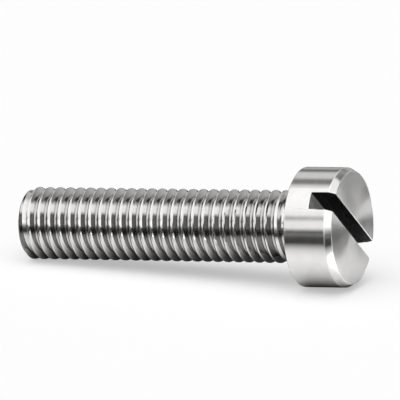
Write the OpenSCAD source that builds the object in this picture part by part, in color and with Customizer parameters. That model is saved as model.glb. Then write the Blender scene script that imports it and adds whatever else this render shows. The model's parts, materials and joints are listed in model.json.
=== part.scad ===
// Slotted cheese head machine screw, threaded over its whole length, in millimetres.
// It is one turned and rolled piece, and it lies as it comes to rest on a table:
// on the rim of its head and on the first crest of its thread. The head points to +X.

/* [Shank] */
// Length from the bearing face under the head to the tip
shank_length = 40; // [34:0.5:60]
// Diameter of the flat end face at the tip
tip_d = 8.9; // [8.5:0.1:9.2]
// Angle between the axis and the bevel at the tip
tip_bevel_angle = 45; // [30:1:60]
// Diameter of the plain neck between thread and head
neck_d = 9; // [8.8:0.05:9.2]
// Length of the plain neck, its fillet included
neck_length = 1.4; // [1.1:0.1:2]
// Radius of the fillet where the neck meets the head
neck_fillet = 0.8; // [0.6:0.05:0.9]

/* [Thread] */
// Diameter over the crests
crest_d = 9.75; // [9.6:0.05:10]
// Distance along the axis between one crest and the next
pitch = 1.5; // [1.35:0.05:1.75]
// Radial depth from crest to root
thread_depth = 0.86; // [0.7:0.01:0.95]
// Width of the flat on the crest
crest_flat = 0.2; // [0.1:0.01:0.25]
// Angle between the two flanks
flank_angle = 60; // [55:1:62]
// Run from the tip to the first crest, along the side on which the screw lies
first_crest = 0.5; // [0.3:0.05:1.5]

/* [Head] */
// Diameter of the head
head_d = 16; // [14:0.1:20]
// Height of the head above its bearing face
head_height = 6.75; // [5.5:0.05:9]
// Radial width of the bevel round the top
bevel_width = 0.5; // [0.2:0.05:0.9]
// Height along the axis of the bevel round the top
bevel_height = 0.9; // [0.3:0.05:1.3]
// Width of the fine bevel that breaks the edge of the bearing face
rim_break = 0.15; // [0.05:0.05:0.4]

/* [Slot] */
// Width of the driver slot
slot_width = 2.5; // [1.6:0.1:3.2]
// Depth of the driver slot below the top of the head
slot_depth = 3.3; // [2:0.1:4]
// Turn of the slot away from level, as the screw lies
slot_turn = 37.5; // [0:0.5:70]
// Distance by which the slot's middle lies off the screw's axis, towards its upper side
slot_offset = 0.2; // [0:0.05:0.3]

/* [Hidden] */
$fn = 96;

// Radii of the turned forms
head_r = head_d / 2;
neck_r = neck_d / 2;
crest_r = crest_d / 2;
root_r = crest_r - thread_depth;
tip_r = tip_d / 2;
tip_bevel = (crest_r - tip_r) / tan(tip_bevel_angle);

// The thread's section in one pitch: crest flat, flank, root flat and flank again.
// Each corner has a place along the axis, from the middle of the crest, and a radius.
flank_run = thread_depth * tan(flank_angle / 2);
section = [
    [-crest_flat / 2, crest_r],
    [crest_flat / 2, crest_r],
    [crest_flat / 2 + flank_run, root_r],
    [pitch - crest_flat / 2 - flank_run, root_r]
];
corners = len(section);
// Steps of the helix round one turn
steps = 32;

// Under the head the thread fades into its core, which ends inside the neck
core_r = neck_r - 0.05;
core_end = -neck_length / 2;
fade_start = -neck_length - pitch;
// Slope at which the ends of the core close in to the axis, inside their flat faces
closing = 0.4;
// Pitches modelled from the first crest to past the tip, and from there to past the core's end
pitches_below = ceil(first_crest / pitch) + 1;
pitches_above = ceil((shank_length + core_end - first_crest) / pitch) + 1;
cells = corners * (pitches_below + pitches_above);
column = cells + corners + 1;

// The screw tips about the rim of its head until the corner of the thread that stops it first
// touches the table
lie_angle = min([
    for (step = [0 : steps - 1]) for (index = [0 : column - 1])
        let (corner = thread_point(step, index))
        atan((head_r - corner[0]) / (rim_break - corner[2]))
]);
// Lowest and furthest places of the lying screw, which set its origin
lift = head_r * cos(lie_angle) - rim_break * sin(lie_angle);
head_reach = (head_r - bevel_width) * sin(lie_angle) + head_height * cos(lie_angle);
tip_reach = tip_r * sin(lie_angle) + shank_length * cos(lie_angle);

// Goes from a to b as t goes from 0 to 1, and stays there
function blend(a, b, t) = a + (b - a) * min(max(t, 0), 1);

// Radius of the thread at height z: it rises from the tip's bevel and fades under the head
function crest_limit(z) =
    min(blend(tip_r, crest_r, (z + shank_length) / tip_bevel),
        blend(crest_r, core_r, (z - fade_start) / pitch));
function root_limit(z) =
    max(blend(tip_r, root_r, (z + shank_length) / pitch),
        blend(root_r, core_r, (z - fade_start) / pitch));
function thread_radius(z, r) = max(min(r, crest_limit(z)), root_limit(z));

// A corner past either end folds into the flat end face, nearer the axis the further it lies
function folded(z, r) =
    z < -shank_length ? [tip_r + closing * (z + shank_length), -shank_length]
    : z > core_end ? [core_r - closing * (z - core_end), core_end]
    : [thread_radius(z, r), z];

// Place of one corner of the helix, counted along its column from past the tip
function thread_point(step, index) =
    let (turn = step / steps,
         corner = section[index % corners],
         crest = floor(index / corners) - pitches_below + turn,
         place = folded(first_crest - shank_length + crest * pitch + corner[0], corner[1]))
    [place[0] * cos(360 * turn), place[0] * sin(360 * turn), place[1]];

// Number of a corner: after the last step comes the first column, one pitch further along
function at(step, index) = step < steps ? step * column + index : index + corners;

// The threaded shank as one helical surface, closed at both ends
module threaded_shank() {
    points = [
        for (step = [0 : steps - 1]) for (index = [0 : column - 1]) thread_point(step, index),
        [0, -tip_r / 4, -shank_length],
        [0, core_r / 4, core_end]
    ];
    // Each flat end is a fan from a point that sees its whole edge, the one-pitch jump too
    tip_hub = steps * column;
    core_hub = tip_hub + 1;
    skin = [
        for (step = [0 : steps - 1]) for (index = [0 : cells - 1])
            each [
                [at(step, index), at(step + 1, index + 1), at(step + 1, index)],
                [at(step, index), at(step, index + 1), at(step + 1, index + 1)]
            ]
    ];
    tip_edge = end_edge(0);
    core_edge = end_edge(cells);
    tip_face = [
        for (i = [0 : len(tip_edge) - 1]) [tip_edge[i], next(tip_edge, i), tip_hub]
    ];
    core_face = [
        for (i = [0 : len(core_edge) - 1]) [next(core_edge, i), core_edge[i], core_hub]
    ];
    polyhedron(points, concat(skin, tip_face, core_face));
}

// Edge of the surface at one of its ends: once round the helix and back down one pitch
function end_edge(index) = [
    for (step = [0 : steps]) at(step, index),
    for (back = [1 : corners - 1]) index + corners - back
];
function next(list, i) = list[(i + 1) % len(list)];

// Half section of the head and its neck, with the radius along X and the axis along Y
module head_section() {
    polygon([
        [0, 0],
        [head_r - rim_break, 0],
        [head_r, rim_break],
        [head_r, head_height - bevel_height],
        [head_r - bevel_width, head_height],
        [0, head_height]
    ]);
    translate([0, -neck_length])
        square([neck_r, neck_length + rim_break]);
    translate([neck_r - rim_break, -neck_fillet])
        difference() {
            square([neck_fillet + rim_break, neck_fillet + rim_break]);
            translate([neck_fillet + rim_break, 0])
                circle(r = neck_fillet);
        }
}

module driver_slot() {
    rotate([0, 0, -slot_turn])
        translate([-slot_offset - slot_width / 2, -head_r - 1, head_height - slot_depth])
            cube([slot_width, 2 * head_r + 2, slot_depth + 1]);
}

// The screw upright, with its bearing face at height zero and its head up
module upright_screw() {
    difference() {
        // Turned round so that the seam of the round faces lies on top of the screw
        rotate([0, 0, 180])
            rotate_extrude()
                head_section();
        driver_slot();
    }
    threaded_shank();
}

module cheese_head_screw() {
    color([0.74, 0.74, 0.72])
        translate([(tip_reach - head_reach) / 2, 0, lift])
            rotate([0, 90 - lie_angle, 0])
                upright_screw();
}

cheese_head_screw();
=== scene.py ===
import json
import logging
import math
from contextlib import contextmanager
from dataclasses import dataclass
from enum import Enum
from typing import Callable, Iterator, Sequence

import bpy
from mathutils import Matrix, Vector


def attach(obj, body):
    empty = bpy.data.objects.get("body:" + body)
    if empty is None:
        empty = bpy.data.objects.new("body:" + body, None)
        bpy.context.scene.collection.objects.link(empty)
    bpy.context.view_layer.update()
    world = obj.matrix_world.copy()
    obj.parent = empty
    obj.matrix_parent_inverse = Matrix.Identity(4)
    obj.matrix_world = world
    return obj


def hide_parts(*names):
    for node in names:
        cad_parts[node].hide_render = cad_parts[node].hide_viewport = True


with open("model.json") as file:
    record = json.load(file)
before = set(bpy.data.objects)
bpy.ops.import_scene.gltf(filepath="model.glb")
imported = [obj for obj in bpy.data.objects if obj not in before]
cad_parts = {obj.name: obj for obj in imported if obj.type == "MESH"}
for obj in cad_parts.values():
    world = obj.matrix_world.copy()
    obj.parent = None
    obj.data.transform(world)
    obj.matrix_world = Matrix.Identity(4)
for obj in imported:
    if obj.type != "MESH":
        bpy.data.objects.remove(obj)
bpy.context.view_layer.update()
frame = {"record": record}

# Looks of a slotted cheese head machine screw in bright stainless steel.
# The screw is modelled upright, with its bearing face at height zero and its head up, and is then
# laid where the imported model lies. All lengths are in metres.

logging.basicConfig(level=logging.INFO, format="%(message)s")
log = logging.getLogger("screw")

MM = 0.001
NODE = "cheese_head_screw"
BODY = "root"
# Places nearer to each other than this count as one
WELD = 0.002 * MM
# Elements are put in order by their distance from this place, which lies square to nothing
SORT_FROM = (31.1 * MM, 17.3 * MM, 45.7 * MM)

Piece = bpy.types.Object
Socket = bpy.types.NodeSocket
Outputs = bpy.types.NodeOutputs
Source = Socket | float | Sequence[float]
Colour = tuple[float, float, float]


class Zone(Enum):
    """A surface of the screw that is finished in its own way; its value is its material's place."""

    THREAD = 0
    WALL = 1
    FACE = 2
    BEVEL = 3
    EDGE = 4
    SLOT_WALL = 5
    SLOT_FLOOR = 6


class Element(Enum):
    """What edit mode selects; the value is its list in the mesh."""

    VERT = "vertices"
    EDGE = "edges"
    FACE = "polygons"


@dataclass(frozen=True)
class HeadSizes:
    """Sizes of the head and of the neck under it."""

    radius: float = 8.0 * MM
    height: float = 6.75 * MM
    bevel_width: float = 0.5 * MM
    bevel_height: float = 0.9 * MM
    rim_break: float = 0.15 * MM
    neck_radius: float = 4.5 * MM
    neck_length: float = 1.4 * MM
    neck_fillet: float = 0.8 * MM
    slot_width: float = 2.5 * MM
    slot_depth: float = 3.3 * MM
    slot_turn: float = math.radians(37.5)
    slot_offset: float = 0.2 * MM

    @property
    def slot_way(self) -> Vector:
        """Direction along the slot, on the upright screw."""
        return Vector((math.sin(self.slot_turn), math.cos(self.slot_turn), 0.0))

    @property
    def slot_side_way(self) -> Vector:
        """Direction square to the slot's walls, on the upright screw."""
        return Vector((math.cos(self.slot_turn), -math.sin(self.slot_turn), 0.0))

    def slot_side(self, place: Vector) -> float:
        """Distance of a place from the slot's middle plane."""
        return abs(place.dot(self.slot_side_way) + self.slot_offset)


@dataclass(frozen=True)
class ThreadSizes:
    """Sizes of the threaded shank."""

    length: float = 40.0 * MM
    crest_radius: float = 4.875 * MM
    depth: float = 0.86 * MM
    pitch: float = 1.5 * MM
    crest_flat: float = 0.2 * MM
    first_crest: float = 0.5 * MM
    flank_slope: float = math.radians(30)
    tip_radius: float = 4.45 * MM
    core_gap: float = 0.05 * MM

    @property
    def root_radius(self) -> float:
        """Radius at the bottom of the groove."""
        return self.crest_radius - self.depth


@dataclass(frozen=True)
class Lie:
    """Where the screw lies: the middle of its bearing face, and the direction of its head."""

    middle: Vector
    along: Vector

    @classmethod
    def from_frame(cls, head: HeadSizes) -> "Lie":
        """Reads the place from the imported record's mount on the head's wall.

        Args:
            head: sizes of the head, whose wall the mount stands on.

        Returns:
            The place of the screw in the frame.
        """
        mounts = {mount["name"]: mount for mount in frame["record"]["mounts"]}
        along = Vector(mounts["head"]["axis"]).normalized()
        wall_middle = (head.rim_break + head.height - head.bevel_height) / 2
        return cls(Vector(mounts["head"]["pos_m"]) - along * wall_middle, along)

    def matrix(self) -> Matrix:
        """Takes the upright screw to its place, its own X side down."""
        turn = Matrix.Rotation(math.acos(self.along.z), 4, "Y")
        return Matrix.Translation(self.middle) @ turn


class Bench:
    """Small helpers for modelling by hand with operators."""

    @staticmethod
    def clear() -> None:
        """Deselects all objects."""
        bpy.ops.object.select_all(action="DESELECT")

    @staticmethod
    def take(piece: Piece) -> None:
        """Makes a piece the only selected and the active one.

        Args:
            piece: the piece.
        """
        Bench.clear()
        piece.select_set(True)
        bpy.context.view_layer.objects.active = piece

    @staticmethod
    @contextmanager
    def editing(
        piece: Piece, kind: Element = Element.VERT, chosen: Callable[[object], bool] | None = None
    ) -> Iterator[None]:
        """Opens a piece in edit mode for the operators of a with block.

        Args:
            piece: the piece to open.
            kind: what is selected in it.
            chosen: says of each element whether it is selected; if it is left out, all are.

        Returns:
            The with block's context.
        """
        Bench.take(piece)
        bpy.ops.object.mode_set(mode="EDIT")
        bpy.ops.mesh.select_mode(type=kind.name)
        bpy.ops.mesh.select_all(action="DESELECT" if chosen else "SELECT")
        if chosen:
            bpy.ops.object.mode_set(mode="OBJECT")
            for element in getattr(piece.data, kind.value):
                element.select = chosen(element)
            bpy.ops.object.mode_set(mode="EDIT")
        yield
        bpy.ops.object.mode_set(mode="OBJECT")

    @staticmethod
    def apply_places(piece: Piece) -> None:
        """Puts a piece's turn, place and scale into its mesh."""
        Bench.take(piece)
        bpy.ops.object.transform_apply(location=True, rotation=True, scale=True)

    @staticmethod
    def modify(piece: Piece, kind: str, **settings: object) -> None:
        """Adds a modifier, sets it and applies it.

        Args:
            piece: the piece to change.
            kind: the modifier's type.
            settings: the modifier's properties.
        """
        Bench.take(piece)
        modifier = piece.modifiers.new(kind.lower(), kind)
        for name, value in settings.items():
            setattr(modifier, name, value)
        bpy.ops.object.modifier_apply(modifier=modifier.name)

    @staticmethod
    def combine(piece: Piece, tool: Piece, how: str) -> None:
        """Takes the UNION, DIFFERENCE or INTERSECT of a piece and a tool, which is used up."""
        Bench.modify(piece, "BOOLEAN", object=tool, operation=how, solver="EXACT")
        bpy.data.objects.remove(tool)
        Bench.put_in_order(piece)

    @staticmethod
    def put_in_order(piece: Piece) -> None:
        """Sorts points, edges and faces, whose order a boolean leaves to chance.

        Args:
            piece: the piece.
        """
        cursor = bpy.context.scene.cursor
        cursor.location = SORT_FROM
        with Bench.editing(piece):
            bpy.ops.mesh.sort_elements(type="CURSOR_DISTANCE", elements={"VERT", "EDGE", "FACE"})
        cursor.location = (0, 0, 0)

    @staticmethod
    def tidy(piece: Piece) -> None:
        """Merges doubles and turns the faces outwards.

        Args:
            piece: the piece.
        """
        with Bench.editing(piece):
            bpy.ops.mesh.remove_doubles(threshold=WELD)
            bpy.ops.mesh.normals_make_consistent(inside=False)

    @staticmethod
    def add_places(piece: Piece) -> None:
        """Gives a piece one empty material place for each zone."""
        for _ in Zone:
            piece.data.materials.append(None)


@dataclass(frozen=True)
class Corner:
    """A corner of a half section: its radius and height, and how far back it is rounded."""

    radius: float
    height: float
    rounding: float = 0.0
    segments: int = 2

    def round_off(self, chain: Piece) -> None:
        """Rounds this corner in a drawn chain with a bevel of its point.

        Args:
            chain: the chain.
        """
        place = Vector((self.radius, 0, self.height))
        with Bench.editing(chain, chosen=lambda vertex: (vertex.co - place).length < WELD):
            bpy.ops.mesh.bevel(offset=self.rounding, segments=self.segments, affect="VERTICES")


@dataclass(frozen=True)
class HalfSection:
    """Half the section of a turned form, drawn corner by corner from the axis round to the axis."""

    corners: Sequence[Corner]

    def draw(self) -> Piece:
        """Draws the chain of corners by extruding one point, then rounds the corners.

        Returns:
            The chain of edges as an object.
        """
        Bench.clear()
        bpy.ops.mesh.primitive_plane_add(size=MM)
        chain = bpy.context.object
        with Bench.editing(chain):
            bpy.ops.mesh.merge(type="CENTER")
            first = self.corners[0]
            bpy.ops.transform.translate(value=(first.radius, 0, first.height))
            for before, after in zip(self.corners, self.corners[1:]):
                step = (after.radius - before.radius, 0, after.height - before.height)
                bpy.ops.mesh.extrude_region_move(TRANSFORM_OT_translate={"value": step})
        for corner in self.corners:
            if corner.rounding:
                corner.round_off(chain)
        return chain

    def turn(self, steps: int) -> Piece:
        """Turns the section round the axis to a closed solid.

        Args:
            steps: faces round the full turn.

        Returns:
            The turned piece, upright.
        """
        piece = self.draw()
        with Bench.editing(piece):
            bpy.ops.mesh.spin(steps=steps, angle=2 * math.pi, center=(0, 0, 0), axis=(0, 0, 1))
        Bench.tidy(piece)
        return piece


@dataclass(frozen=True)
class CheeseHead:
    """The turned head with its neck, bevels and milled driver slot."""

    sizes: HeadSizes
    steps: int = 160
    fillet_segments: int = 6
    edge_break: float = 0.10 * MM
    edge_segments: int = 3
    corner_gap: float = 0.22 * MM
    rim_share: float = 0.55
    sharp_from: float = math.radians(24)
    flat_within: float = math.radians(0.2)
    cutter_over: float = 2 * MM

    def build(self) -> Piece:
        """Turns the head, mills its slot and breaks its sharp edges.

        Returns:
            The head, upright.
        """
        head = self.section().turn(self.steps)
        Bench.combine(head, self.slot_cutter(), "DIFFERENCE")
        self.flatten(head)
        self.clear_corners(head)
        Bench.add_places(head)
        self.weigh_edges(head)
        Bench.modify(
            head,
            "BEVEL",
            width=self.edge_break,
            segments=self.edge_segments,
            limit_method="WEIGHT",
            use_clamp_overlap=False,
            material=Zone.EDGE.value,
        )
        return head

    def section(self) -> HalfSection:
        """Lists the corners of the head and neck, from the neck's lower end to the top.

        Returns:
            The half section.
        """
        s = self.sizes
        corners = (
            Corner(0, -s.neck_length),
            Corner(s.neck_radius, -s.neck_length),
            Corner(s.neck_radius, 0, s.neck_fillet, self.fillet_segments),
            Corner(s.radius - s.rim_break, 0),
            Corner(s.radius, s.rim_break),
            Corner(s.radius, s.height - s.bevel_height),
            Corner(s.radius - s.bevel_width, s.height),
            Corner(0, s.height),
        )
        return HalfSection(corners)

    def is_upper(self, height: float) -> bool:
        """Says whether a height is clear of the bearing face and its rim."""
        return height > self.sizes.height / 4

    def weigh_edges(self, head: Piece) -> None:
        """Weighs the sharp edges for the bevel: full on top and at the slot, less at the rim.

        Args:
            head: the head with its slot.
        """
        with Bench.editing(head, Element.EDGE):
            bpy.ops.mesh.select_all(action="DESELECT")
            bpy.ops.mesh.edges_select_sharp(sharpness=self.sharp_from)
        mesh = head.data
        weights = mesh.attributes.new("bevel_weight_edge", "FLOAT", "EDGE")
        for edge in mesh.edges:
            lowest = min(mesh.vertices[end].co.z for end in edge.vertices)
            share = 1.0 if self.is_upper(lowest) else self.rim_share
            weights.data[edge.index].value = share if edge.select else 0.0

    def clear_corners(self, head: Piece) -> None:
        """Draws what lies close to the slot's corners into them, so that their edges break evenly.

        Args:
            head: the head with its slot.
        """
        corners = []
        others = []
        for vertex in head.data.vertices:
            from_wall = abs(self.sizes.slot_side(vertex.co) - self.sizes.slot_width / 2)
            on_wall = from_wall < WELD and self.is_upper(vertex.co.z)
            (corners if on_wall else others).append(vertex)
        for vertex in others:
            nearest = min(corners, key=lambda corner: (corner.co - vertex.co).length)
            if (nearest.co - vertex.co).length < self.corner_gap:
                vertex.co = nearest.co
        Bench.tidy(head)

    def slot_cutter(self) -> Piece:
        """Makes the bar whose shape the slot has.

        Returns:
            The bar, which stands out past the head at both ends and on top.
        """
        s = self.sizes
        Bench.clear()
        bpy.ops.mesh.primitive_cube_add(size=1)
        bar = bpy.context.object
        bar.scale = (s.slot_width, 2 * s.radius + self.cutter_over, s.slot_depth + self.cutter_over)
        bar.location = s.slot_side_way * -s.slot_offset
        bar.location.z = s.height + (self.cutter_over - s.slot_depth) / 2
        bar.rotation_euler = (0, 0, -s.slot_turn)
        Bench.apply_places(bar)
        return bar

    def flatten(self, head: Piece) -> None:
        """Joins the flat faces that the turning and the cut left in slices."""
        with Bench.editing(head):
            bpy.ops.mesh.dissolve_limited(angle_limit=self.flat_within)


@dataclass(frozen=True)
class ThreadedShank:
    """The rolled thread: one helical rib on a core, trimmed at the tip and faded under the head."""

    sizes: ThreadSizes
    head: HeadSizes
    steps: int = 96
    root_rounding: float = 0.08 * MM
    root_segments: int = 3
    crest_rounding: float = 0.035 * MM
    tip_rounding: float = 0.05 * MM
    core_sunk: float = 0.02 * MM
    trim_gap: float = 0.1 * MM
    turns_below: int = 2
    spare_turns: int = 3

    @property
    def fade_start(self) -> float:
        """Height at which the thread begins to fade into the neck."""
        return -self.head.neck_length - self.sizes.pitch

    @property
    def core_radius(self) -> float:
        """Radius of the core where it enters the neck."""
        return self.head.neck_radius - self.sizes.core_gap

    def build(self) -> Piece:
        """Rolls the helix, fills its core and trims both ends.

        Returns:
            The shank, upright.
        """
        shank = self.helix()
        Bench.add_places(shank)
        Bench.combine(shank, self.core(), "UNION")
        Bench.combine(shank, self.envelope(), "INTERSECT")
        return shank

    def helix(self) -> Piece:
        """Sweeps one pitch of the section along the helix, past both ends of the shank.

        Returns:
            The helix, closed at both ends.
        """
        s = self.sizes
        half_root = (s.pitch - s.crest_flat) / 2 - s.depth * math.tan(s.flank_slope)
        crest_from = (s.pitch - s.crest_flat) / 2
        root = (self.root_rounding, self.root_segments)
        corners = (
            Corner(s.root_radius, 0),
            Corner(s.root_radius, half_root, *root),
            Corner(s.crest_radius, crest_from, self.crest_rounding),
            Corner(s.crest_radius, crest_from + s.crest_flat, self.crest_rounding),
            Corner(s.root_radius, s.pitch - half_root, *root),
            Corner(s.root_radius, s.pitch),
        )
        helix = HalfSection(corners).draw()
        Bench.modify(
            helix,
            "SCREW",
            angle=2 * math.pi,
            screw_offset=s.pitch,
            iterations=math.ceil(s.length / s.pitch) + self.spare_turns,
            steps=self.steps,
            render_steps=self.steps,
            axis="Z",
            use_merge_vertices=False,
        )
        # The first crest from the tip is counted along the side that lies on the table
        drawn_crest = self.turns_below * s.pitch + s.pitch / 2
        helix.location.z = s.first_crest - s.length - drawn_crest
        Bench.apply_places(helix)
        Bench.tidy(helix)
        with Bench.editing(helix):
            bpy.ops.mesh.fill_holes(sides=0)
            bpy.ops.mesh.select_all(action="SELECT")
            bpy.ops.mesh.normals_make_consistent(inside=False)
        return helix

    def core(self) -> Piece:
        """Turns the core, which grows to the tip's radius and to the neck's at its two ends.

        Returns:
            The core, upright.
        """
        s = self.sizes
        sunk = s.root_radius - self.core_sunk
        tip_grow = (s.tip_radius - s.root_radius) / s.pitch
        neck_grow = (self.core_radius - s.root_radius) / s.pitch
        over = s.pitch / 2
        corners = (
            Corner(0, -s.length - over),
            Corner(s.tip_radius + tip_grow * over, -s.length - over),
            Corner(sunk, -s.length + s.pitch),
            Corner(sunk, self.fade_start),
            Corner(self.core_radius + neck_grow * over, over - self.head.neck_length),
            Corner(0, over - self.head.neck_length),
        )
        return HalfSection(corners).turn(self.steps)

    def envelope(self) -> Piece:
        """Turns the form that the shank is trimmed to: flat tip, bevel, straight run and fade.

        Returns:
            The form, upright.
        """
        s = self.sizes
        clear = s.crest_radius + self.trim_gap
        core_end = -self.head.neck_length / 2
        corners = (
            Corner(0, -s.length),
            Corner(s.tip_radius, -s.length, self.tip_rounding),
            Corner(clear, -s.length + clear - s.tip_radius),
            Corner(clear, self.fade_start),
            Corner(s.crest_radius, self.fade_start),
            Corner(self.core_radius, -self.head.neck_length),
            Corner(self.core_radius, core_end),
            Corner(0, core_end),
        )
        return HalfSection(corners).turn(self.steps)


class Grain(Enum):
    """The way that the tool marks of a surface run."""

    ROUND = "round the screw's axis"
    SLOT = "along the driver slot"


@dataclass(frozen=True)
class SteelFinish:
    """How one zone of the steel is finished; roughness runs from its smooth to its rough value."""

    name: str
    colour: Colour
    smooth: float
    rough: float
    anisotropy: float = 0.0
    mark_spacing: float = 0.05 * MM
    mark_depth: float = 0.0
    scratch_depth: float = 0.0
    # Share of painted shade deep in the thread's groove
    residue: float = 0.0
    metallic: float = 1.0
    grain: Grain = Grain.ROUND


FINISHES: dict[Zone, SteelFinish] = {
    Zone.THREAD: SteelFinish(
        "rolled_thread", (0.80, 0.79, 0.775), smooth=0.04, rough=0.09,
        # Painted shade deep in the groove, at this share
        mark_depth=0.05, scratch_depth=0.05, residue=0.35,
    ),
    Zone.WALL: SteelFinish(
        "turned_wall", (0.81, 0.80, 0.79), smooth=0.08, rough=0.14, anisotropy=0.25,
        mark_spacing=0.06 * MM, mark_depth=0.04, scratch_depth=0.03,
    ),
    Zone.FACE: SteelFinish(
        "turned_face", (0.80, 0.79, 0.78), smooth=0.29, rough=0.33, anisotropy=1.0,
        mark_depth=0.015, scratch_depth=0.01,
    ),
    Zone.BEVEL: SteelFinish(
        "turned_bevel", (0.82, 0.81, 0.80), smooth=0.06, rough=0.11, anisotropy=0.25,
        mark_depth=0.04, scratch_depth=0.02,
    ),
    # The broken edges mirror the studio like the rest of the steel, but their lighter, partly matt colour is
    # a painted highlight
    Zone.EDGE: SteelFinish("broken_edge", (0.99, 0.99, 0.985), smooth=0.20, rough=0.24, metallic=0.9),
    # The slot's walls are painted near black: painted shade in the slot
    Zone.SLOT_WALL: SteelFinish(
        "milled_slot_wall", (0.032, 0.032, 0.032), smooth=0.25, rough=0.40, anisotropy=0.30,
        mark_spacing=0.10 * MM, mark_depth=0.20, scratch_depth=0.05, grain=Grain.SLOT,
    ),
    Zone.SLOT_FLOOR: SteelFinish(
        "milled_slot_floor", (0.78, 0.78, 0.77), smooth=0.45, rough=0.60, anisotropy=0.30,
        mark_spacing=0.10 * MM, mark_depth=0.35, scratch_depth=0.10, grain=Grain.SLOT,
    ),
}


@dataclass(frozen=True)
class Fade:
    """A smooth change from a first value to a last one, between two places."""

    start: float
    end: float
    first: float = 0.0
    last: float = 1.0


class NodeBoard:
    """A thin layer over a node tree that makes the node code short."""

    def __init__(self, tree: bpy.types.NodeTree) -> None:
        """Clears the tree that the nodes go into."""
        tree.nodes.clear()
        self.tree = tree

    def node(self, kind: str, **settings: object) -> bpy.types.Node:
        """Adds a node.

        Args:
            kind: the node's type without the ShaderNode prefix.
            settings: the node's properties.

        Returns:
            The node.
        """
        made = self.tree.nodes.new("ShaderNode" + kind)
        for name, value in settings.items():
            setattr(made, name, value)
        return made

    def wire(self, source: Source, target: Socket) -> None:
        """Links a socket to another, or sets a plain value on it.

        Args:
            source: the socket to link from, or the value.
            target: the input that takes it.
        """
        if isinstance(source, Socket):
            self.tree.links.new(source, target)
        else:
            target.default_value = source

    def fill(self, made: bpy.types.Node, values: Sequence[Source]) -> Outputs:
        """Wires a node's inputs in order.

        Args:
            made: the node.
            values: what its first inputs take.

        Returns:
            The node's outputs.
        """
        for value, target in zip(values, made.inputs):
            self.wire(value, target)
        return made.outputs

    def group(self, tree: bpy.types.NodeTree, **wires: Source) -> bpy.types.Node:
        """Places a shared effect.

        Args:
            tree: the effect's node group.
            wires: what its inputs take, by name.

        Returns:
            The group's node.
        """
        made = self.node("Group", node_tree=tree)
        for name, source in wires.items():
            self.wire(source, made.inputs[name])
        return made

    def maths(self, operation: str, *values: Source) -> Socket:
        """Adds a Math node over sockets or numbers and gives its result."""
        return self.fill(self.node("Math", operation=operation), values)[0]

    def vector(self, operation: str, *values: Source) -> Socket:
        """Adds a Vector Math node over sockets or vectors and gives its vector."""
        return self.fill(self.node("VectorMath", operation=operation), values)["Vector"]

    def length(self, vector: Socket) -> Socket:
        """Gives the length of a vector."""
        return self.fill(self.node("VectorMath", operation="LENGTH"), (vector,))["Value"]

    def share(self, vector: Socket, way: Sequence[float]) -> Socket:
        """Gives how far a vector reaches in a fixed direction."""
        made = self.node("VectorMath", operation="DOT_PRODUCT")
        return self.fill(made, (vector, tuple(way)))["Value"]

    def split(self, vector: Socket) -> tuple[Socket, ...]:
        """Takes a vector apart into its X, Y and Z."""
        return tuple(self.fill(self.node("SeparateXYZ"), (vector,)))

    def joined(self, *parts: Source) -> Socket:
        """Makes a vector of its X, Y and Z; those left out are 0."""
        return self.fill(self.node("CombineXYZ"), parts)[0]

    def spread(self, value: Source, *limits: Source) -> Socket:
        """Maps a value smoothly from one range to another, or to 0 to 1, held at both ends."""
        return self.fill(self.node("MapRange", interpolation_type="SMOOTHSTEP"), (value, *limits))[0]

    def faded(self, value: Source, fade: Fade) -> Socket:
        """Gives a fade's value at a place."""
        return self.spread(value, fade.start, fade.end, fade.first, fade.last)

    def noise(self, place: Socket, scale: float, detail: float) -> Socket:
        """Adds a noise texture and gives its value.

        Args:
            place: where the texture is read.
            scale: how fine it is.
            detail: how many finer layers it has.

        Returns:
            The value, about 0.5 in the middle.
        """
        made = self.node("TexNoise")
        self.wire(place, made.inputs["Vector"])
        self.wire(scale, made.inputs["Scale"])
        self.wire(detail, made.inputs["Detail"])
        return made.outputs[0]

    def blend(self, share: Source, first: Source, last: Source) -> Socket:
        """Mixes two colours.

        Args:
            share: 0 for the first colour, 1 for the last.
            first: the first colour.
            last: the last colour.

        Returns:
            The mixed colour.
        """
        made = self.node("Mix", data_type="RGBA")
        sockets = {socket.identifier: socket for socket in (*made.inputs, *made.outputs)}
        self.wire(share, sockets["Factor_Float"])
        self.wire(first, sockets["A_Color"])
        self.wire(last, sockets["B_Color"])
        return sockets["Result_Color"]


class GroupBoard(NodeBoard):
    """A board over a new node group, with what the group is given and what it results in."""

    def __init__(self, name: str, inputs: dict[str, str], results: Sequence[str]) -> None:
        """Makes the group and its sockets.

        Args:
            name: the group's name.
            inputs: each input's name, and Float or Vector as its kind.
            results: the names of the value outputs.
        """
        super().__init__(bpy.data.node_groups.new(name, "ShaderNodeTree"))
        for label, kind in inputs.items():
            self.tree.interface.new_socket(label, in_out="INPUT", socket_type="NodeSocket" + kind)
        for label in results:
            self.tree.interface.new_socket(label, in_out="OUTPUT", socket_type="NodeSocketFloat")
        self.given = self.tree.nodes.new("NodeGroupInput").outputs
        self.result = self.tree.nodes.new("NodeGroupOutput").inputs


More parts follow.
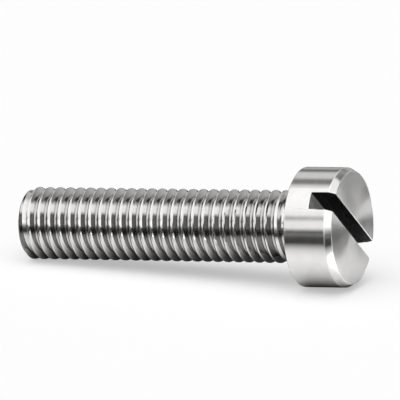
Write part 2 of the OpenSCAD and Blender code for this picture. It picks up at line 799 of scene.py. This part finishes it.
class Effects:
    """The node groups that the steel finishes share, built once."""

    # The part of a noise's range that most of its values lie in
    MIDDLE = Fade(0.35, 0.65)
    STRONG_MARK_SCALE = 0.16
    STRONG_MARK_SHARE = 0.6
    CLOUD_SCALE = 0.5
    SCRATCH_TURN = (0.4, 0.7, 1.1)
    SCRATCH_STRETCH = (9.0, 0.7, 3.0)
    SCRATCH = Fade(0.60, 0.72)
    # Noise scale, wander and depth range of the painted shade deep in the groove
    PAINTED_SHADE_SCALE = 700.0
    PAINTED_SHADE_WANDER = 0.5
    PAINTED_SHADE_DEPTH = Fade(0.87, 1.25)

    def __init__(self) -> None:
        """Builds the groups."""
        self.marks = self.tool_marks()
        self.scratches = self.fine_scratches()
        self.groove_shade = self.residue()

    def tool_marks(self) -> bpy.types.NodeTree:
        """Fine parallel marks across one direction, uneven in depth, with a few stronger ones.

        Returns:
            The group, which gives the marks' height and a shade.
        """
        inputs = {"Across": "Float", "Along": "Float", "Spacing": "Float"}
        board = GroupBoard("tool_marks", inputs, ("Height", "Shade"))
        across = board.maths("DIVIDE", board.given["Across"], board.given["Spacing"])
        place = board.joined(across, board.given["Along"])
        fine = board.noise(place, scale=1.0, detail=2.0)
        broad = board.noise(place, scale=self.STRONG_MARK_SCALE, detail=2.0)
        height = board.maths("MULTIPLY_ADD", broad, self.STRONG_MARK_SHARE, fine)
        board.wire(height, board.result["Height"])
        board.wire(board.faded(broad, self.MIDDLE), board.result["Shade"])
        return board.tree

    def fine_scratches(self) -> bpy.types.NodeTree:
        """Short random scratches and the faint cloudiness of handled metal.

        Returns:
            The group, which gives the scratches' depth and the cloud's share.
        """
        inputs = {"Place": "Vector", "Size": "Float"}
        board = GroupBoard("fine_scratches", inputs, ("Height", "Cloud"))
        scaled = board.vector("DIVIDE", board.given["Place"], board.given["Size"])
        cloud = board.noise(scaled, scale=self.CLOUD_SCALE, detail=4.0)
        stretched = board.node("Mapping")
        board.wire(scaled, stretched.inputs["Vector"])
        board.wire(self.SCRATCH_TURN, stretched.inputs["Rotation"])
        board.wire(self.SCRATCH_STRETCH, stretched.inputs["Scale"])
        lines = board.noise(stretched.outputs[0], scale=1.0, detail=1.0)
        board.wire(board.faded(lines, self.SCRATCH), board.result["Height"])
        board.wire(board.faded(cloud, self.MIDDLE), board.result["Cloud"])
        return board.tree

    def residue(self) -> bpy.types.NodeTree:
        """Painted shade that darkens what lies deep, broken up by noise.

        Returns:
            The group, which gives the painted shade's share.
        """
        inputs = {"Place": "Vector", "Depth": "Float", "Full": "Float"}
        board = GroupBoard("residue", inputs, ("Mask",))
        patches = board.noise(board.given["Place"], scale=self.PAINTED_SHADE_SCALE, detail=3.0)
        share = board.maths("DIVIDE", board.given["Depth"], board.given["Full"])
        wander = board.maths("MULTIPLY", patches, self.PAINTED_SHADE_WANDER)
        deep = board.maths("ADD", share, wander)
        board.wire(board.faded(deep, self.PAINTED_SHADE_DEPTH), board.result["Mask"])
        return board.tree


@dataclass(frozen=True)
class SteelShop:
    """Makes the steel material of each zone; its own values are the same in all of them."""

    lie: Lie
    head: HeadSizes
    thread: ThreadSizes
    effects: Effects
    quarter_turn: float = 0.25
    scratch_size: float = 0.8 * MM
    mark_share: float = 0.6
    shade_range: tuple[float, float] = (0.2, 0.8)
    cloud_light: float = 1.05
    # Colour of the painted shade deep in the groove, and the roughness that it adds
    painted_shade_colour: Colour = (0.10, 0.095, 0.09)
    painted_shade_rough: float = 0.25
    bump_distance: float = 0.004 * MM
    round_wander: float = 0.8
    slot_wander: float = 150.0

    def material(self, finish: SteelFinish) -> bpy.types.Material:
        """Builds one finish.

        Args:
            finish: the zone's finish.

        Returns:
            Its material.
        """
        made = bpy.data.materials.new(finish.name)
        made.use_nodes = True
        board = NodeBoard(made.node_tree)
        shader = board.node("BsdfPrincipled")
        board.wire(shader.outputs[0], board.node("OutputMaterial").inputs["Surface"])
        board.wire(finish.metallic, shader.inputs["Metallic"])
        board.wire(finish.anisotropy, shader.inputs["Anisotropic"])
        board.wire(self.quarter_turn, shader.inputs["Anisotropic Rotation"])

        place = self.own_place(board)
        across, along = self.mark_directions(board, place, finish.grain)
        marks = board.group(self.effects.marks, Across=across, Along=along, Spacing=finish.mark_spacing)
        scratches = board.group(self.effects.scratches, Place=place, Size=self.scratch_size)
        cloud = scratches.outputs["Cloud"]
        clouded = board.maths("MULTIPLY", cloud, 1.0 - self.mark_share)
        shade = board.maths("MULTIPLY_ADD", marks.outputs["Shade"], self.mark_share, clouded)
        roughness = board.spread(shade, *self.shade_range, finish.smooth, finish.rough)
        lighter = [min(1.0, part * self.cloud_light) for part in finish.colour]
        colour = board.blend(cloud, (*finish.colour, 1.0), (*lighter, 1.0))
        # Painted shade: the colour darkens deep in the thread's groove, and the roughness rises with it
        if finish.residue:
            mask = board.maths("MULTIPLY", self.painted_shade_in_groove(board, place), finish.residue)
            colour = board.blend(mask, colour, (*self.painted_shade_colour, 1.0))
            roughness = board.maths("MULTIPLY_ADD", mask, self.painted_shade_rough, roughness)
        board.wire(colour, shader.inputs["Base Color"])
        board.wire(roughness, shader.inputs["Roughness"])

        bump = board.node("Bump")
        board.wire(self.bump_distance, bump.inputs["Distance"])
        raised = board.maths("MULTIPLY", marks.outputs["Height"], finish.mark_depth)
        sunk = board.maths("MULTIPLY", scratches.outputs["Height"], finish.scratch_depth)
        board.wire(board.maths("SUBTRACT", raised, sunk), bump.inputs["Height"])
        board.wire(bump.outputs[0], shader.inputs["Normal"])
        if finish.anisotropy:
            board.wire(self.tangent(board, finish.grain), shader.inputs["Tangent"])
        return made

    def own_place(self, board: NodeBoard) -> Socket:
        """Gives the place in the screw's own upright frame, from the Object coordinates.

        Args:
            board: the material's board.

        Returns:
            The place.
        """
        mapping = board.node("Mapping")
        back = self.lie.matrix().inverted()
        board.wire(board.node("TexCoord").outputs["Object"], mapping.inputs["Vector"])
        board.wire(back.to_translation(), mapping.inputs["Location"])
        board.wire(back.to_euler("XYZ"), mapping.inputs["Rotation"])
        return mapping.outputs[0]

    @staticmethod
    def own_radius(board: NodeBoard, place: Socket) -> Socket:
        """Gives the distance of an own place from the screw's axis."""
        x, y, _ = board.split(place)
        return board.length(board.joined(x, y))

    def mark_directions(self, board: NodeBoard, place: Socket, grain: Grain) -> tuple[Socket, Socket]:
        """Measures a place by the tool marks.

        Args:
            board: the material's board.
            place: the place in the screw's own frame.
            grain: the way that the marks run.

        Returns:
            The way across the marks, in metres, and a slow measure along them.
        """
        x, y, z = board.split(place)
        if grain is Grain.SLOT:
            across = board.maths("ADD", board.share(place, self.head.slot_side_way), z)
            way = board.share(place, self.head.slot_way)
            return across, board.maths("MULTIPLY", way, self.slot_wander)
        angle = board.maths("ARCTAN2", y, x)
        along = board.maths("MULTIPLY", board.maths("SINE", angle), self.round_wander)
        return board.maths("ADD", self.own_radius(board, place), z), along

    def painted_shade_in_groove(self, board: NodeBoard, place: Socket) -> Socket:
        """Gives the share of painted shade deep in the thread's groove.

        Args:
            board: the material's board.
            place: the place in the screw's own frame.

        Returns:
            The share, from 0 to 1.
        """
        radius = self.own_radius(board, place)
        depth = board.maths("SUBTRACT", self.thread.crest_radius, radius)
        groove_shade = board.group(self.effects.groove_shade, Place=place, Depth=depth, Full=self.thread.depth)
        return groove_shade.outputs["Mask"]

    def tangent(self, board: NodeBoard, grain: Grain) -> Socket:
        """Gives the direction of the tool marks in the frame.

        Args:
            board: the material's board.
            grain: the way that the marks run.

        Returns:
            The direction.
        """
        if grain is Grain.SLOT:
            return board.joined(*(self.lie.matrix().to_3x3() @ self.head.slot_way))
        place = board.node("TexCoord").outputs["Object"]
        arm = board.vector("SUBTRACT", place, tuple(self.lie.middle))
        round_way = board.vector("CROSS_PRODUCT", tuple(self.lie.along), arm)
        return board.vector("NORMALIZE", round_way)


@dataclass(frozen=True)
class MachineScrew:
    """The whole screw: head, neck and thread as one closed mesh.

    A share is how far a face's normal has to point up the axis, for it to count as flat and so on.
    """

    lie: Lie
    head: HeadSizes
    thread: ThreadSizes
    smooth_angle: float = math.radians(35)
    flat_share: float = 0.999
    floor_share: float = 0.9
    bevel_share: float = 0.2
    inner_edge_share: float = 0.1
    bevel_gap: float = 0.02 * MM

    def build(self) -> Piece:
        """Builds the screw upright, marks its zones and lays it in its place.

        Returns:
            The finished piece.
        """
        screw = ThreadedShank(self.thread, self.head).build()
        Bench.combine(screw, CheeseHead(self.head).build(), "UNION")
        screw.name = "bright_steel_screw"
        screw.data.name = screw.name
        Bench.tidy(screw)
        self.dress(screw)
        Bench.take(screw)
        bpy.ops.object.shade_smooth_by_angle(angle=self.smooth_angle)
        Bench.modify(screw, "WEIGHTED_NORMAL", mode="FACE_AREA", weight=50, keep_sharp=True)
        screw.matrix_world = self.lie.matrix()
        Bench.apply_places(screw)
        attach(screw, BODY)
        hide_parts(NODE)
        return screw

    def dress(self, screw: Piece) -> None:
        """Gives each zone its material.

        Args:
            screw: the screw, upright.
        """
        shop = SteelShop(self.lie, self.head, self.thread, Effects())
        zones = [self.zone_of(face) for face in screw.data.polygons]
        for zone in Zone:
            screw.material_slots[zone.value].material = shop.material(FINISHES[zone])
            with Bench.editing(screw, Element.FACE, lambda face: zones[face.index] is zone):
                screw.active_material_index = zone.value
                bpy.ops.object.material_slot_assign()
            log.info("zone %s: %d faces", zone.name.lower(), zones.count(zone))

    def zone_of(self, face: bpy.types.MeshPolygon) -> Zone:
        """Says which zone a face of the upright screw belongs to.

        Args:
            face: the face; the faces of the broken edges are marked already.

        Returns:
            The zone.
        """
        head = self.head
        height = face.center.z
        upward = face.normal.z
        if height < -head.neck_length:
            return Zone.THREAD
        side = head.slot_side(face.center)
        near_top = height > head.height - head.slot_depth / 2
        slot_floor = head.height - head.slot_depth
        in_slot = side < head.slot_width / 2 + WELD and height > slot_floor - WELD
        if face.material_index == Zone.EDGE.value:
            # Broken edges low inside the slot take the slot wall's near black colour, its painted shade
            inside = side < head.slot_width / 2 - WELD and upward > self.inner_edge_share
            return Zone.SLOT_WALL if in_slot and inside and not near_top else Zone.EDGE
        if in_slot:
            return Zone.SLOT_FLOOR if upward > self.floor_share else Zone.SLOT_WALL
        if near_top and upward > self.flat_share:
            return Zone.FACE
        bevel_start = head.height - head.bevel_height + self.bevel_gap
        if height > bevel_start and upward > self.bevel_share:
            return Zone.BEVEL
        return Zone.WALL


@dataclass(frozen=True)
class PhotoCamera:
    """The camera at the photograph's place: far off, a little above, to the head's side."""

    lie: Lie
    azimuth: float = math.radians(22.72)
    elevation: float = math.radians(13.35)
    distance: float = 941.3 * MM
    aim_right: float = 14.05 * MM
    aim_down: float = 3.575 * MM
    lens: float = 636.9
    clip_start: float = 10 * MM

    @property
    def back(self) -> Vector:
        """Direction from the screw to the camera."""
        az, el = self.azimuth, self.elevation
        return Vector((math.sin(az) * math.cos(el), -math.cos(az) * math.cos(el), math.sin(el)))

    def build(self) -> None:
        """Adds the camera and makes it the scene's."""
        back = self.back
        right = Vector((math.cos(self.azimuth), math.sin(self.azimuth), 0.0))
        up = back.cross(right)
        spot = self.lie.middle + back * self.distance - right * self.aim_right + up * self.aim_down
        data = bpy.data.cameras.new("camera")
        data.lens = self.lens
        data.clip_start = self.clip_start
        camera = bpy.data.objects.new("camera", data)
        bpy.context.collection.objects.link(camera)
        turn = Matrix((right, up, back)).transposed()
        camera.matrix_world = Matrix.Translation(spot) @ turn.to_4x4()
        bpy.context.scene.camera = camera


@dataclass(frozen=True)
class Panel:
    """A stretch of the studio round the screw's axis, seen by the metal only.

    Angles are in degrees: 0 is towards the front, 90 is overhead, 180 is behind.
    """

    start: float
    end: float
    level: float


class View(Enum):
    """How a mirrored ray leaves the screw."""

    TO_TIP = "once mirrored, towards the tip"
    TO_HEAD = "once mirrored, towards the head"
    FROM_GROOVE = "mirrored more than once, between the flanks of the thread"


STUDIO: dict[View, tuple[Panel, ...]] = {
    View.TO_TIP: (
        Panel(-30, 3.5, 0.12),
        Panel(11, 22, 0.95),
        Panel(28, 30, 0.50),
        Panel(36, 40, 1.00),
        Panel(48, 90, 1.15),
        Panel(96, 98, 0.77),
        Panel(106, 114, 0.22),
        Panel(123, 139, 0.67),
        Panel(151, 152, 0.13),
        Panel(164, 200, 0.44),
    ),
    View.TO_HEAD: (
        Panel(-30, -7, 0.04),
        Panel(2, 3, 0.40),
        Panel(14, 56, 1.23),
        Panel(80, 116, 1.00),
        Panel(124, 137, 0.20),
        Panel(148, 150, 0.34),
        Panel(164, 200, 0.47),
    ),
    View.FROM_GROOVE: (
        Panel(-30, 0, 0.05),
        Panel(6, 46, 0.15),
        Panel(60, 84, 1.15),
        Panel(93, 95, 0.62),
        Panel(108, 124, 0.05),
        Panel(138, 150, 0.30),
        Panel(164, 200, 0.47),
    ),
}


@dataclass(frozen=True)
class PaintedFloorLight:
    """A round pool of light painted on the floor, seen by the metal only as a painted reflection.

    Its middle lies so far towards the head (ahead) and towards the back (behind) from the spot that
    the slotted face mirrors to the camera at a height. Its tone fades out between two distances.
    """

    height: float
    ahead: float
    behind: float
    full: float
    ends: float
    tone: float


# Pools of light painted on the floor for the metal to mirror, named by what they brighten
PAINTED_FLOOR_LIGHTS: dict[str, PaintedFloorLight] = {
    "lower half of the face": PaintedFloorLight(2.5 * MM, 0.0, 2 * MM, 6 * MM, 13 * MM, 1.2),
    "upper half of the face": PaintedFloorLight(10 * MM, 0.0, 0.0, 3 * MM, 8 * MM, 2.4),
    "side of the face next to the bevel": PaintedFloorLight(10 * MM, -20 * MM, 12 * MM, 9 * MM, 18 * MM, 3.8),
    "bright sector beyond the slot": PaintedFloorLight(10 * MM, 40 * MM, 37 * MM, 9 * MM, 18 * MM, 9.0),
    "lower stretch of the bevel": PaintedFloorLight(0.0, 8 * MM, -9 * MM, 4 * MM, 8 * MM, 0.6),
}


@dataclass(frozen=True)
class Studio:
    """White surroundings, soft panels for the metal, and a pale floor on which the metal sees painted tones.

    The fades run along Y, towards the back, or along X, towards the head.
    """

    lie: Lie
    head: HeadSizes
    camera: PhotoCamera
    floor_size: float = 4.0
    floor_tone: float = 0.97
    shadow_share: float = 0.56
    lamp_lean: tuple[float, float, float] = (0.0, -0.35, 1.0)
    lamp_focus: float = 4.0
    side_change: Fade = Fade(-0.3, 0.3)
    once_mirrored: float = 1.5
    # Tone of the floor to rays mirrored more than once in the groove: painted shade on the thread's flanks
    groove_painted_shade_tone: float = 0.28
    # To the metal the floor is painted dark in front, a painted reflection. Factors on Y bring that dark
    # nearer to the shank, and a little nearer past the head
    front_y: Fade = Fade(-31 * MM, -11 * MM, 0.06, 1.0)
    nearer_at_shank_x: Fade = Fade(0.0, 10 * MM, 1.65, 1.0)
    nearer_past_head_x: Fade = Fade(14 * MM, 26 * MM, 0.0, 0.12)
    far_front_y: Fade = Fade(-110 * MM, -35 * MM, 0.12, 0.0)
    # The floor is painted dark behind too, a painted reflection, and under the screw, up to where the head
    # ends, it bears a painted shadow
    back_y: Fade = Fade(-2 * MM, 6 * MM, 1.0, 0.12)
    painted_shadow_middle: float = 0.5 * MM
    painted_shadow_gap: Fade = Fade(0.5 * MM, 6 * MM, 0.30, 1.0)
    past_head_x: Fade = Fade(21 * MM, 25 * MM)

    def light_world(self) -> None:
        """Sets a world that is white to the eye and to matt things, and soft panels to the metal."""
        world = bpy.data.worlds.new("studio")
        bpy.context.scene.world = world
        world.use_nodes = True
        world.cycles.sampling_method = "NONE"
        board = NodeBoard(world.node_tree)
        way = board.node("TexCoord").outputs["Generated"]
        path = board.node("LightPath").outputs
        mirrored = board.maths("MAXIMUM", path["Is Glossy Ray"], path["Is Transmission Ray"])
        lit = board.maths("MULTIPLY", path["Is Diffuse Ray"], self.overhead(board, way))
        plain = board.maths("ADD", lit, path["Is Camera Ray"])
        tone = board.blend(mirrored, plain, self.panel_level(board, way, path))
        light = board.fill(board.node("Background"), (tone,))[0]
        board.wire(light, board.node("OutputWorld").inputs["Surface"])

    def overhead(self, board: NodeBoard, way: Socket) -> Socket:
        """Gives the light for matt things: strongest from above, and 1 in all on the open floor.

        Args:
            board: the world's board.
            way: direction of the ray.

        Returns:
            The level of the light.
        """
        lean = Vector(self.lamp_lean).normalized()
        up_share = board.maths("MAXIMUM", board.share(way, lean), 0.0)
        focused = board.maths("POWER", up_share, self.lamp_focus)
        # A light of this focus gives a floor square to it 2 / (focus + 2) of an even sky's light
        return board.maths("MULTIPLY", focused, (self.lamp_focus + 2) / 2 / lean.z)

    def panel_level(self, board: NodeBoard, way: Socket, path: Outputs) -> Socket:
        """Gives the level of the panel that a mirrored ray meets.

        Args:
            board: the world's board.
            way: direction of the ray.
            path: outputs of its Light Path node.

        Returns:
            The level.
        """
        front = Vector((0.0, -1.0, 0.0))
        over_share = board.share(way, front.cross(self.lie.along))
        angle = board.maths("DEGREES", board.maths("ARCTAN2", over_share, board.share(way, front)))
        ramps = {view: self.panel_ramp(board, angle, row) for view, row in STUDIO.items()}
        to_head = board.faded(board.share(way, self.lie.along), self.side_change)
        once = board.blend(to_head, ramps[View.TO_TIP], ramps[View.TO_HEAD])
        return board.blend(self.from_groove(board, path), once, ramps[View.FROM_GROOVE])

    def from_groove(self, board: NodeBoard, path: Outputs) -> Socket:
        """Gives 1 for a ray that left the screw after two mirrorings or more, otherwise 0."""
        return board.maths("GREATER_THAN", path["Glossy Depth"], self.once_mirrored)

    @staticmethod
    def panel_ramp(board: NodeBoard, degrees: Socket, row: Sequence[Panel]) -> Socket:
        """Turns the angle round the axis into the level of the panel there.

        Args:
            board: the world's board.
            degrees: the angle.
            row: the panels, in order of their angles.

        Returns:
            The level.
        """
        low = row[0].start
        span = row[-1].end - low
        brightest = max(panel.level for panel in row)
        turned = board.maths("WRAP", degrees, low + 360, low)
        ramp = board.node("ValToRGB")
        share = board.maths("DIVIDE", board.maths("SUBTRACT", turned, low), span)
        board.wire(share, ramp.inputs[0])
        # A new ramp has two stops, of which the first becomes the first panel's start
        stops = ramp.color_ramp.elements
        stops.remove(stops[-1])
        stop = stops[0]
        for panel in row:
            for edge in (panel.start, panel.end):
                if edge > low:
                    stop = stops.new((edge - low) / span)
                stop.color = (*(panel.level / brightest,) * 3, 1.0)
        return board.maths("MULTIPLY", ramp.outputs["Color"], brightest)

    def lay_floor(self) -> None:
        """Lays a large pale floor, white to the eye apart from the screw's soft shadow."""
        Bench.clear()
        bpy.ops.mesh.primitive_plane_add(size=self.floor_size)
        floor = bpy.context.object
        floor.name = "floor"
        floor.data.materials.append(self.floor_material())

    def floor_material(self) -> bpy.types.Material:
        """Makes a pale matt floor, on which the metal sees painted tones: painted reflections, painted pools
        of light and a painted shadow.

        Returns:
            The material.
        """
        made = bpy.data.materials.new("pale_floor")
        made.use_nodes = True
        board = NodeBoard(made.node_tree)
        path = board.node("LightPath").outputs
        # To rays mirrored more than once, between the thread's flanks, the floor is darker: painted shade in
        # the groove
        deep = self.from_groove(board, path)
        left_in_groove = board.maths("MULTIPLY_ADD", deep, self.groove_painted_shade_tone - 1.0, 1.0)
        mirrored = board.maths("MULTIPLY", self.painted_floor_reflection(board), left_in_groove)
        tone = board.spread(path["Is Glossy Ray"], 0.0, 1.0, 1.0, mirrored)
        matt = board.node("BsdfDiffuse")
        board.wire(board.maths("MULTIPLY", tone, self.floor_tone), matt.inputs["Color"])
        glow = board.node("Emission")
        share = board.maths("MULTIPLY", path["Is Camera Ray"], 1.0 - self.shadow_share)
        mixed = board.fill(board.node("MixShader"), (share, matt.outputs[0], glow.outputs[0]))[0]
        board.wire(mixed, board.node("OutputMaterial").inputs["Surface"])
        made.cycles.emission_sampling = "NONE"
        return made

    def painted_floor_reflection(self, board: NodeBoard) -> Socket:
        """Gives the tone of the floor to the metal, all painted: dark painted reflections in front and
        behind, painted pools of light, and a painted shadow under the screw.

        Args:
            board: the floor's board.

        Returns:
            The tone, by the place on the floor.
        """
        place = board.node("TexCoord").outputs["Object"]
        x, y, _ = board.split(place)
        # Painted reflection: the floor is dark to the metal in front and behind
        nearer = board.faded(x, self.nearer_at_shank_x)
        nearer = board.maths("ADD", nearer, board.faded(x, self.nearer_past_head_x))
        front = board.faded(board.maths("MULTIPLY", y, nearer), self.front_y)
        front = board.maths("ADD", front, board.faded(y, self.far_front_y))
        tone = board.maths("MULTIPLY", front, board.faded(y, self.back_y))
        # Painted pools of light, which the metal shows as painted reflections
        for painted_pool in PAINTED_FLOOR_LIGHTS.values():
            middle = self.mirror_spot(painted_pool.height) + Vector((painted_pool.ahead, painted_pool.behind, 0.0))
            gap = board.length(board.vector("SUBTRACT", place, tuple(middle)))
            light = board.spread(gap, painted_pool.full, painted_pool.ends, painted_pool.tone, 0.0)
            tone = board.maths("ADD", tone, light)
        # Painted shadow: to the metal the floor darkens under the screw, except past the head
        from_screw = board.maths("ABSOLUTE", board.maths("SUBTRACT", y, self.painted_shadow_middle))
        under = board.faded(from_screw, self.painted_shadow_gap)
        return board.maths("MULTIPLY", tone, board.maths("MAXIMUM", under, board.faded(x, self.past_head_x)))

    def mirror_spot(self, height: float) -> Vector:
        """Finds the spot of the floor that the slotted face mirrors to the camera.

        Args:
            height: height above the floor at which the camera looks at the face.

        Returns:
            The spot.
        """
        face = self.lie.middle + self.lie.along * self.head.height
        way = (-self.camera.back).reflect(self.lie.along)
        return (face.xy + way.xy * (height / -way.z)).to_3d()


def main() -> None:
    """Builds the camera, the studio and the screw."""
    head = HeadSizes()
    lie = Lie.from_frame(head)
    bpy.context.scene.view_settings.view_transform = "Standard"
    camera = PhotoCamera(lie)
    camera.build()
    studio = Studio(lie, head, camera)
    studio.light_world()
    studio.lay_floor()
    screw = MachineScrew(lie, head, ThreadSizes()).build()
    log.info("%s: %d faces", screw.name, len(screw.data.polygons))


if __name__ == "__main__":
    main()
